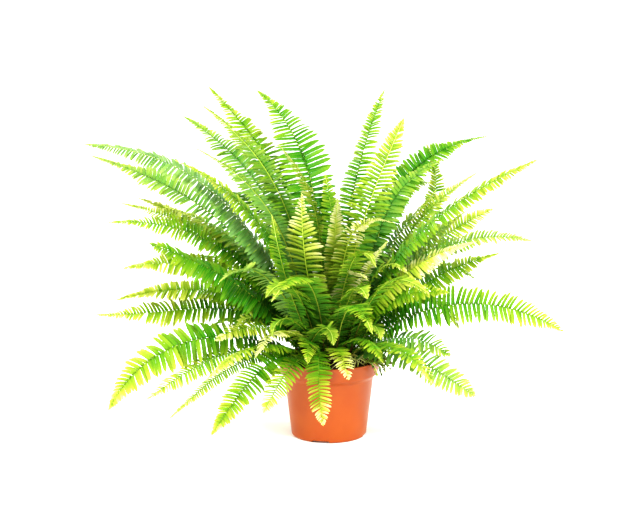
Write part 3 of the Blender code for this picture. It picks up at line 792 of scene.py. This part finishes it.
def leaflet_matrix(blade, habit, u, side, size, step, draw):
    """Where a leaflet lies at a share u of the rib: it grows out along its own X axis, its Y axis
    points to the frond's tip, and it is turned about its midrib, part of the way to the sky."""
    blade_share = max(0, (u - BARE_SHARE) / (1 - BARE_SHARE))
    lean = LEAN_AT_BASE + (LEAN_AT_TIP - LEAN_AT_BASE) * blade_share**2.5
    lean = math.radians(lean + draw.uniform(-LEAN_SCATTER, LEAN_SCATTER))
    centre, along = point_on(blade.line, u)
    across, up = blade_axes(blade, u)
    across = (across - along * across.dot(along)).normalized()
    up = across.cross(along).normalized()
    droop = habit.fold + MOST_FOLD * noise.noise(Vector((u * 5, habit.drift, 3)))
    droop = math.radians(droop + draw.uniform(-FOLD_SCATTER, FOLD_SCATTER))
    outward = across * side * math.cos(lean) + along * math.sin(lean)
    outward = outward * math.cos(droop) - up * math.sin(droop)
    ahead = along * math.cos(lean) - across * side * math.sin(lean)
    ahead = (ahead - outward * ahead.dot(outward)).normalized()
    over = outward.cross(ahead) * side
    to_sky = math.atan2(ahead.z, over.z) * habit.skyward
    aside = MOST_DRIFT * noise.noise(Vector((u * 4.5, habit.drift, 6)))
    aside += draw.uniform(-TURN_SCATTER, TURN_SCATTER)
    turn = min(max(to_sky, -MOST_TURN), MOST_TURN) + math.radians(aside)
    turned_ahead = ahead * math.cos(turn) - over * math.sin(turn)
    turned_over = over * math.cos(turn) + ahead * math.sin(turn)
    width = step * habit.fullness * draw.uniform(0.93, 1.07)
    columns = [outward * size, turned_ahead * width, turned_over * size * habit.sag]
    root = centre + up * STALK_RADIUS * 0.35
    rows = [[column[row] for column in columns] + [root[row]] for row in range(3)]
    return Matrix(rows + [[0, 0, 0, 1]])


def grow_leaflets(bm, blade, youth, painted_sheen, masters, draw):
    """Sets leaflets in turn on both sides of a rib, closer and leaning further towards its tip.
    Their size, turn and fold drift along the rib."""
    long, small = masters
    length = rib_length(blade.line)
    spacing = SPACING_AT_LEAST + SPACING_PER_LENGTH * blade.width
    habit = draw_habit(length, draw)
    place = max(FIRST_LEAFLET_SHARE * length, FIRST_LEAFLET)
    side = 1
    while place < length - 1 * MM:
        u = place / length
        share = leaflet_share(u, habit.taper)
        size = blade.width * share * draw.uniform(1.02, 1.18)
        size *= 1 + SIZE_DRIFT * noise.noise(Vector((u * 7, habit.drift, 0)))
        size *= 1 - habit.tail * min(max((u - TAIL_START) / TAIL_RUN, 0), 1)
        step = spacing * (CLOSEST_SHARE + (1 - CLOSEST_SHARE) * share)
        if size > SHORTEST_LEAFLET and draw.random() > MISSING_SHARE:
            matrix = leaflet_matrix(blade, habit, u, side, size, step, draw)
            # the fourth value is how strong the painted sky reflection is on this frond
            growth = (u, youth, draw.random(), painted_sheen)
            add_copy(bm, draw.choice(long if size > SMALL_LEAFLET else small), matrix, growth)
        side = -side
        place += step / 2 * draw.uniform(0.9, 1.1)


def add_stalk(bm, blade, youth):
    """A tapering round stalk along the rib, from under the soil to the tip."""
    length = rib_length(blade.line)
    count = max(8, round(length / STALK_STEP))
    points = [point_on(blade.line, k / count)[0] for k in range(count + 1)]
    points.insert(0, points[0] - Vector((0, 0, STALK_DEPTH)))
    mesh = tube(points, STALK_RADIUS, STALK_TIP_RADIUS / STALK_RADIUS, 0.6)
    tree = KDTree(len(points))
    for k, place in enumerate(points):
        tree.insert(place, k)
    tree.balance()
    growth = mesh.attributes.new("growth", "FLOAT_COLOR", "POINT")
    for k, corner in enumerate(mesh.vertices):
        share = tree.find(corner.co)[1] / len(points)
        growth.data[k].color = (share, youth, 0.5, 1)
    for face in mesh.polygons:
        face.material_index = 1
    bm.from_mesh(mesh)
    bpy.data.meshes.remove(mesh)


def model_spike():
    """A bent spike 1 m long, thin and closed, modelled once for the stalks' papery scales and for
    the leaves of the moss."""
    bpy.ops.mesh.primitive_cone_add(vertices=3, radius1=0.09, depth=1, location=(0, 0, 0.5))
    piece = bpy.context.object
    only(piece)
    bpy.ops.object.transform_apply(location=True)
    mesh = piece.data
    for corner in mesh.vertices:
        corner.co.x += 0.3 * corner.co.z ** 2
    mesh.attributes.new("growth", "FLOAT_COLOR", "POINT")
    mesh.attributes["growth"].data.foreach_set("color", [0, 0, 0.5, 1] * len(mesh.vertices))
    for face in mesh.polygons:
        face.material_index = 1
    bpy.data.objects.remove(piece)
    return mesh


def add_scales(bm, blade, scale, draw):
    """Clothes the lowest part of a stalk in rusty scales that point up and out."""
    length = rib_length(blade.line)
    for k in range(SCALES_PER_STALK):
        centre, along = point_on(blade.line, draw.random() ** 1.6 * SCALY_LENGTH / length)
        out = Vector((draw.uniform(-1, 1), draw.uniform(-1, 1), draw.uniform(-1, 1)))
        out = (out - along * out.dot(along)).normalized()
        lean = math.radians(draw.uniform(15, 50))
        way = along * math.cos(lean) + out * math.sin(lean)
        lie = way.to_track_quat("Z", "X").to_matrix().to_4x4()
        place = Matrix.Translation(centre + out * STALK_RADIUS * 0.7)
        add_copy(bm, scale, place @ lie @ Matrix.Scale(draw.uniform(2, 4.5) * MM, 4))


def grow_frond(node, masters, scale, finishes):
    """One piece for a solid frond node, with every frond that the node holds."""
    draw = random.Random(SEED + int(node[-2:]))
    bm = bmesh.new()
    for number, blade in enumerate(read_blades(node)):
        ages = YOUTH.get(node, ())
        youth = ages[number] if number < len(ages) else draw.uniform(0.04, 0.24)
        add_stalk(bm, blade, youth)
        grow_leaflets(bm, blade, youth, PAINTED_SKY_SHEEN.get(node, 0), masters, draw)
        add_scales(bm, blade, scale, draw)
    finish_piece(node + "_fine", bm, finishes, node)


# ---- pot ----

def wall_line(inset, low):
    """(radius, height) points up a wall: the tapered body, the curved step and the collar."""
    body_top = POT_HEIGHT - COLLAR_HEIGHT - STEP_HEIGHT
    slope = (BODY_TOP_RADIUS - BODY_FOOT_RADIUS) / (body_top - FOOT_HEIGHT)
    line = [(BODY_FOOT_RADIUS + slope * (low - FOOT_HEIGHT) - inset, low)]
    for k in range(13):
        share = k / 12
        out = share * share * (3 - 2 * share)
        radius = BODY_TOP_RADIUS + (COLLAR_RADIUS - BODY_TOP_RADIUS) * out
        line.append((radius - inset, body_top + STEP_HEIGHT * share))
    return line


def arc(radius, height, size, first, last, steps):
    """(radius, height) points on an arc about a point, between two angles in degrees."""
    turns = [math.radians(first + (last - first) * k / steps) for k in range(steps + 1)]
    return [(radius + size * math.cos(turn), height + size * math.sin(turn)) for turn in turns]


def spin(name, profile, steps):
    """Spins a profile of (radius, height) points about the upright axis."""
    bpy.ops.mesh.primitive_plane_add(size=1 * MM)
    piece = bpy.context.object
    piece.name = name
    bm = bmesh.new()
    chain = [bm.verts.new((radius, 0, height)) for radius, height in profile]
    for first, second in zip(chain, chain[1:]):
        bm.edges.new((first, second))
    bm.to_mesh(piece.data)
    bm.free()
    only(piece)
    bpy.ops.object.mode_set(mode="EDIT")
    bpy.ops.mesh.select_all(action="SELECT")
    bpy.ops.mesh.spin(steps=steps, angle=2 * math.pi, center=(0, 0, 0), axis=(0, 0, 1))
    bpy.ops.mesh.select_all(action="SELECT")
    bpy.ops.mesh.remove_doubles(threshold=0.02 * MM)
    bpy.ops.mesh.normals_make_consistent(inside=False)
    bpy.ops.object.mode_set(mode="OBJECT")
    return piece


def cut(piece, cutters):
    """Cuts the joined cutters out of a piece."""
    deselect_all()
    for cutter in cutters:
        cutter.select_set(True)
    bpy.context.view_layer.objects.active = cutters[0]
    bpy.ops.object.join()
    joined = bpy.context.object
    only(piece)
    boolean = piece.modifiers.new("cut", "BOOLEAN")
    boolean.operation = "DIFFERENCE"
    boolean.object = joined
    bpy.ops.object.modifier_apply(modifier="cut")
    bpy.data.objects.remove(joined)


def make_pot(finish):
    """The pot, with a rounded rim, a foot ring cut by four notches, and six drain holes."""
    foot_in = BODY_FOOT_RADIUS - FOOT_ROUND - FOOT_WIDTH
    profile = [(0, 0), (CENTRE_FOOT_RADIUS, 0), (CENTRE_FOOT_RADIUS + 1 * MM, FOOT_HEIGHT)]
    profile += [(foot_in - 1 * MM, FOOT_HEIGHT), (foot_in, 0)]
    profile += arc(BODY_FOOT_RADIUS - FOOT_ROUND, FOOT_ROUND, FOOT_ROUND, -90, -5, 6)
    profile += wall_line(0, FOOT_HEIGHT)
    profile += arc(RIM_RADIUS - EDGE, POT_HEIGHT - EDGE, EDGE, -10, 90, 5)
    profile += arc(RIM_RADIUS - WALL - EDGE * 0.3, POT_HEIGHT - EDGE, EDGE, 90, 170, 4)
    profile += reversed(wall_line(WALL, FLOOR_TOP + FOOT_ROUND))
    inner_foot = wall_line(WALL, FLOOR_TOP)[0][0] - FOOT_ROUND
    profile += arc(inner_foot, FLOOR_TOP + FOOT_ROUND, FOOT_ROUND, 0, -90, 5)[1:]
    profile.append((0, FLOOR_TOP))
    pot = spin("pot_fine", profile, SPIN_STEPS)
    cutters = []
    for k in range(NOTCH_COUNT):
        turn = math.radians(NOTCH_TURN + 360 * k / NOTCH_COUNT)
        place = at_turn(turn, BODY_FOOT_RADIUS - 3 * MM)
        bpy.ops.mesh.primitive_cube_add(size=1, location=place, rotation=(0, 0, turn))
        bpy.context.object.scale = (NOTCH_DEPTH, NOTCH_WIDTH, 2 * NOTCH_HEIGHT)
        cutters.append(bpy.context.object)
    for k in range(DRAIN_COUNT):
        place = at_turn(2 * math.pi * (k + 0.5) / DRAIN_COUNT, DRAIN_RING_RADIUS, FLOOR_TOP)
        bpy.ops.mesh.primitive_cylinder_add(vertices=24, radius=DRAIN_RADIUS, depth=DRAIN_CUT, location=place)
        cutters.append(bpy.context.object)
    cut(pot, cutters)
    only(pot)
    bpy.ops.object.shade_smooth_by_angle(angle=math.radians(35))
    pot.data.materials.clear()
    pot.data.materials.append(finish)
    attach(pot, "root")
    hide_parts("pot")


# ---- soil, runners and creeper ----

def soil_height(radius):
    """How high the mound stands at a distance from the pot's axis."""
    edge = COLLAR_RADIUS - WALL
    share = min(max((radius - MOUND_RADIUS) / (edge - MOUND_RADIUS), 0), 1)
    return SOIL_TOP + (SOIL_EDGE - SOIL_TOP) * share


def lumpy(place):
    """How far the peat stands above the even mound there: clods of 8 mm and crumbs of 2 mm."""
    clods = noise.noise(place / CLOD)
    crumbs = noise.noise(place / CRUMB)
    return (clods * 1.3 + crumbs * 0.7) * MM


def add_moss(bm, leaf, edge, draw):
    """Grows cushions of moss near the wall: low domes of short leaves that point outwards."""
    for k in range(MOSS_COUNT):
        radius = edge - draw.uniform(4, 13) * MM
        turn = draw.uniform(0, 2 * math.pi)
        middle = at_turn(turn, radius, soil_height(radius))
        middle.z += lumpy(middle)
        wide = draw.uniform(1.6, 3.2) * MM
        for j in range(MOSS_LEAVES):
            out = Vector((draw.gauss(0, 1), draw.gauss(0, 1), abs(draw.gauss(0, 1)))).normalized()
            place = middle + Vector((out.x * wide, out.y * wide, out.z * wide * 0.6))
            lie = out.to_track_quat("Z", "X").to_matrix().to_4x4()
            size = Matrix.Diagonal((2.4 * MM, 2.4 * MM, draw.uniform(0.9, 1.7) * MM, 1))
            add_copy(bm, leaf, Matrix.Translation(place - out * 0.3 * MM) @ lie @ size)


def add_crumbs(bm, edge, draw):
    """Scatters rounded crumbs of peat."""
    bpy.ops.mesh.primitive_ico_sphere_add(subdivisions=1, radius=1)
    crumb = bpy.context.object.data
    bpy.data.objects.remove(bpy.context.object)
    for k in range(CRUMB_COUNT):
        radius = (edge - 2 * MM) * math.sqrt(draw.random())
        turn = draw.uniform(0, 2 * math.pi)
        place = at_turn(turn, radius, soil_height(radius))
        place.z += lumpy(place) + 0.2 * MM
        sizes = [draw.uniform(0.5, 1.0) * draw.uniform(0.6, 1.6) * MM for axis in range(3)]
        lie = Matrix.Rotation(draw.uniform(0, 6), 4, "X") @ Matrix.Rotation(draw.uniform(0, 6), 4, "Z")
        add_copy(bm, crumb, Matrix.Translation(place) @ lie @ Matrix.Diagonal(sizes + [1]))


def add_fibres(bm, edge, draw):
    """Strews bent peat fibres that follow the lumps."""
    for k in range(FIBRE_COUNT):
        radius = (edge - 6 * MM) * math.sqrt(draw.random())
        turn = draw.uniform(0, 2 * math.pi)
        way = Vector((draw.uniform(-1, 1), draw.uniform(-1, 1), 0)).normalized()
        bend = Vector((-way.y, way.x, 0)) * draw.uniform(-0.4, 0.4)
        first = at_turn(turn, radius)
        long = draw.uniform(4, 11) * MM
        points = []
        for j in range(5):
            place = first + (way * (j / 4) + bend * (j / 4) ** 2) * long
            if place.length < edge - 2 * MM:
                place.z = soil_height(place.length) + lumpy(place) + draw.uniform(0, 1.2) * MM
                points.append(place)
        if len(points) > 2:
            fibre = tube(points, draw.uniform(0.12, 0.3) * MM, 0.5)
            bm.from_mesh(fibre)
            bpy.data.meshes.remove(fibre)


def make_soil(finishes, leaf):
    """Lumpy peat with crumbs, pale fibres and cushions of moss on it."""
    draw = random.Random(SEED + 100)
    bottom = FLOOR_TOP + 0.3 * MM
    side = wall_line(WALL + SOIL_GAP, bottom)
    edge = side[-1][0]
    rings = [edge * (1 - k / SOIL_RINGS) for k in range(1, SOIL_RINGS)]
    profile = [(0, bottom)] + side + [(edge, SOIL_EDGE)]
    profile += [(radius, soil_height(radius)) for radius in rings] + [(0, SOIL_TOP)]
    peat = spin("peat", profile, SOIL_STEPS)
    for corner in peat.data.vertices:
        if corner.co.z >= SOIL_EDGE - 0.01 * MM:
            corner.co.z += lumpy(corner.co)
    bm = bmesh.new()
    bm.from_mesh(peat.data)
    bpy.data.objects.remove(peat)
    add_crumbs(bm, edge, draw)
    add_fibres(bm, edge, draw)
    add_moss(bm, leaf, edge, draw)
    finish_piece("soil_fine", bm, finishes, "soil")


def wander(first, last, lift, draw):
    """A smooth wire's line between two points, arched up by lift and wandering aside."""
    stations = []
    aside = (last - first).cross(Vector((0, 0, 1))).normalized()
    for k in range(6):
        share = k / 5
        place = first.lerp(last, share) + aside * draw.uniform(-2.5, 2.5) * MM
        place.z += lift * math.sin(math.pi * share)
        stations.append(place)
    return smooth_line(stations, WIRE_STEP)


def model_round_leaf():
    """A round leaf 1 m across, thin, closed and slightly dished, modelled once for its copies."""
    bpy.ops.mesh.primitive_circle_add(vertices=9, radius=0.5, fill_type="TRIFAN", calc_uvs=True)
    piece = bpy.context.object
    piece.data.uv_layers[0].name = "leaflet"
    only(piece)
    bpy.ops.object.mode_set(mode="EDIT")
    bpy.ops.mesh.select_all(action="SELECT")
    bpy.ops.mesh.extrude_region_move(TRANSFORM_OT_translate={"value": (0, 0, 0.09)})
    bpy.ops.mesh.select_all(action="SELECT")
    bpy.ops.mesh.normals_make_consistent(inside=False)
    bpy.ops.object.mode_set(mode="OBJECT")
    mesh = piece.data
    for corner in mesh.vertices:
        corner.co.z += 0.5 * corner.co.xy.length_squared
    for face in mesh.polygons:
        face.material_index = 1
    mesh.attributes.new("growth", "FLOAT_COLOR", "POINT")
    bpy.data.objects.remove(piece)
    return mesh


def runner_line():
    """The thick runner, from the crown over the rim."""
    stations = [at_turn(RUNNER_TURN, out * MM, SOIL_TOP + up * MM) for out, up in RUNNER_ROUTE]
    return smooth_line(stations, WIRE_STEP)


def wire_line(draw):
    """A thin runner that crosses the peat at the front right."""
    turn = math.radians(draw.uniform(-78, 2))
    other = turn + math.radians(draw.choice((-1, 1)) * draw.uniform(15, 50))
    inner = draw.uniform(26, 44) * MM
    first = at_turn(turn, inner, soil_height(inner) + draw.uniform(-2, 2) * MM)
    outer = draw.uniform(50, 60) * MM
    last = at_turn(other, outer, soil_height(outer) + draw.uniform(-2, 2) * MM)
    return wander(first, last, draw.uniform(3, 8) * MM, draw)


def creeper_line(number, draw):
    """A creeper's stem, from the peat over the rim to where it hangs free."""
    turn = math.radians(CREEPER_TURN + CREEPER_SPACING * number + draw.uniform(-2, 2))
    drop = draw.uniform(3, 13) * MM
    stations = [at_turn(turn, radius, soil_height(radius) + above)
                for radius, above in ((52 * MM, 0), (60 * MM, 7 * MM))]
    stations.append(at_turn(turn, RIM_RADIUS + 1.5 * MM, POT_HEIGHT + 2.0 * MM))
    stations.append(at_turn(turn, RIM_RADIUS + draw.uniform(7, 19) * MM, POT_HEIGHT - drop))
    return smooth_line(stations, CREEPER_STEP)


def add_round_leaves(bm, leaf, line, draw):
    """Sets round leaves close together along a creeper's stem."""
    for place in line[BARE_STATIONS:]:
        if draw.random() < CREEPER_GAPS:
            continue
        size = draw.uniform(2.2, 3.8) * MM
        stand = Vector((draw.uniform(-1, 1), draw.uniform(-1, 1), draw.uniform(0.2, 1))).normalized()
        lie = stand.to_track_quat("Z", "Y").to_matrix().to_4x4()
        matrix = Matrix.Translation(place + stand * 0.4 * MM) @ lie @ Matrix.Scale(size, 4)
        add_copy(bm, leaf, matrix, (0.5, 0.5, draw.random(), 1))


def make_runners(finishes):
    """Wiry runners crossing over the peat at the front right, one of which climbs over the rim,
    and a creeper with small round leaves that hangs over the rim beside it."""
    draw = random.Random(SEED + 200)
    wires = [(runner_line(), RUNNER_RADIUS)]
    wires += [(wire_line(draw), draw.uniform(0.55, 0.8) * MM) for k in range(WIRE_COUNT)]
    creepers = [creeper_line(k, draw) for k in range(CREEPER_COUNT)]
    wires += [(line, CREEPER_RADIUS) for line in creepers]
    bm = bmesh.new()
    for line, radius in wires:
        wire = tube(line, radius, WIRE_TAPER)
        bm.from_mesh(wire)
        bpy.data.meshes.remove(wire)
    leaf = model_round_leaf()
    for line in creepers:
        add_round_leaves(bm, leaf, line, draw)
    finish_piece("runner_fine", bm, finishes, "runner")


# ---- making ----

add_camera()
add_studio(studio_paint())
leaflets = model_leaflets()
spike = model_spike()
leaf_finishes = [fern_blade(), fern_stalk()]
for name in sorted(frame["nodes"]):
    if name.startswith("frond_"):
        grow_frond(name, leaflets, spike, leaf_finishes)
make_pot(moulded_polypropylene())
make_soil([damp_peat(), cushion_moss()], spike)
make_runners([wiry_runner(), creeping_leaf()])
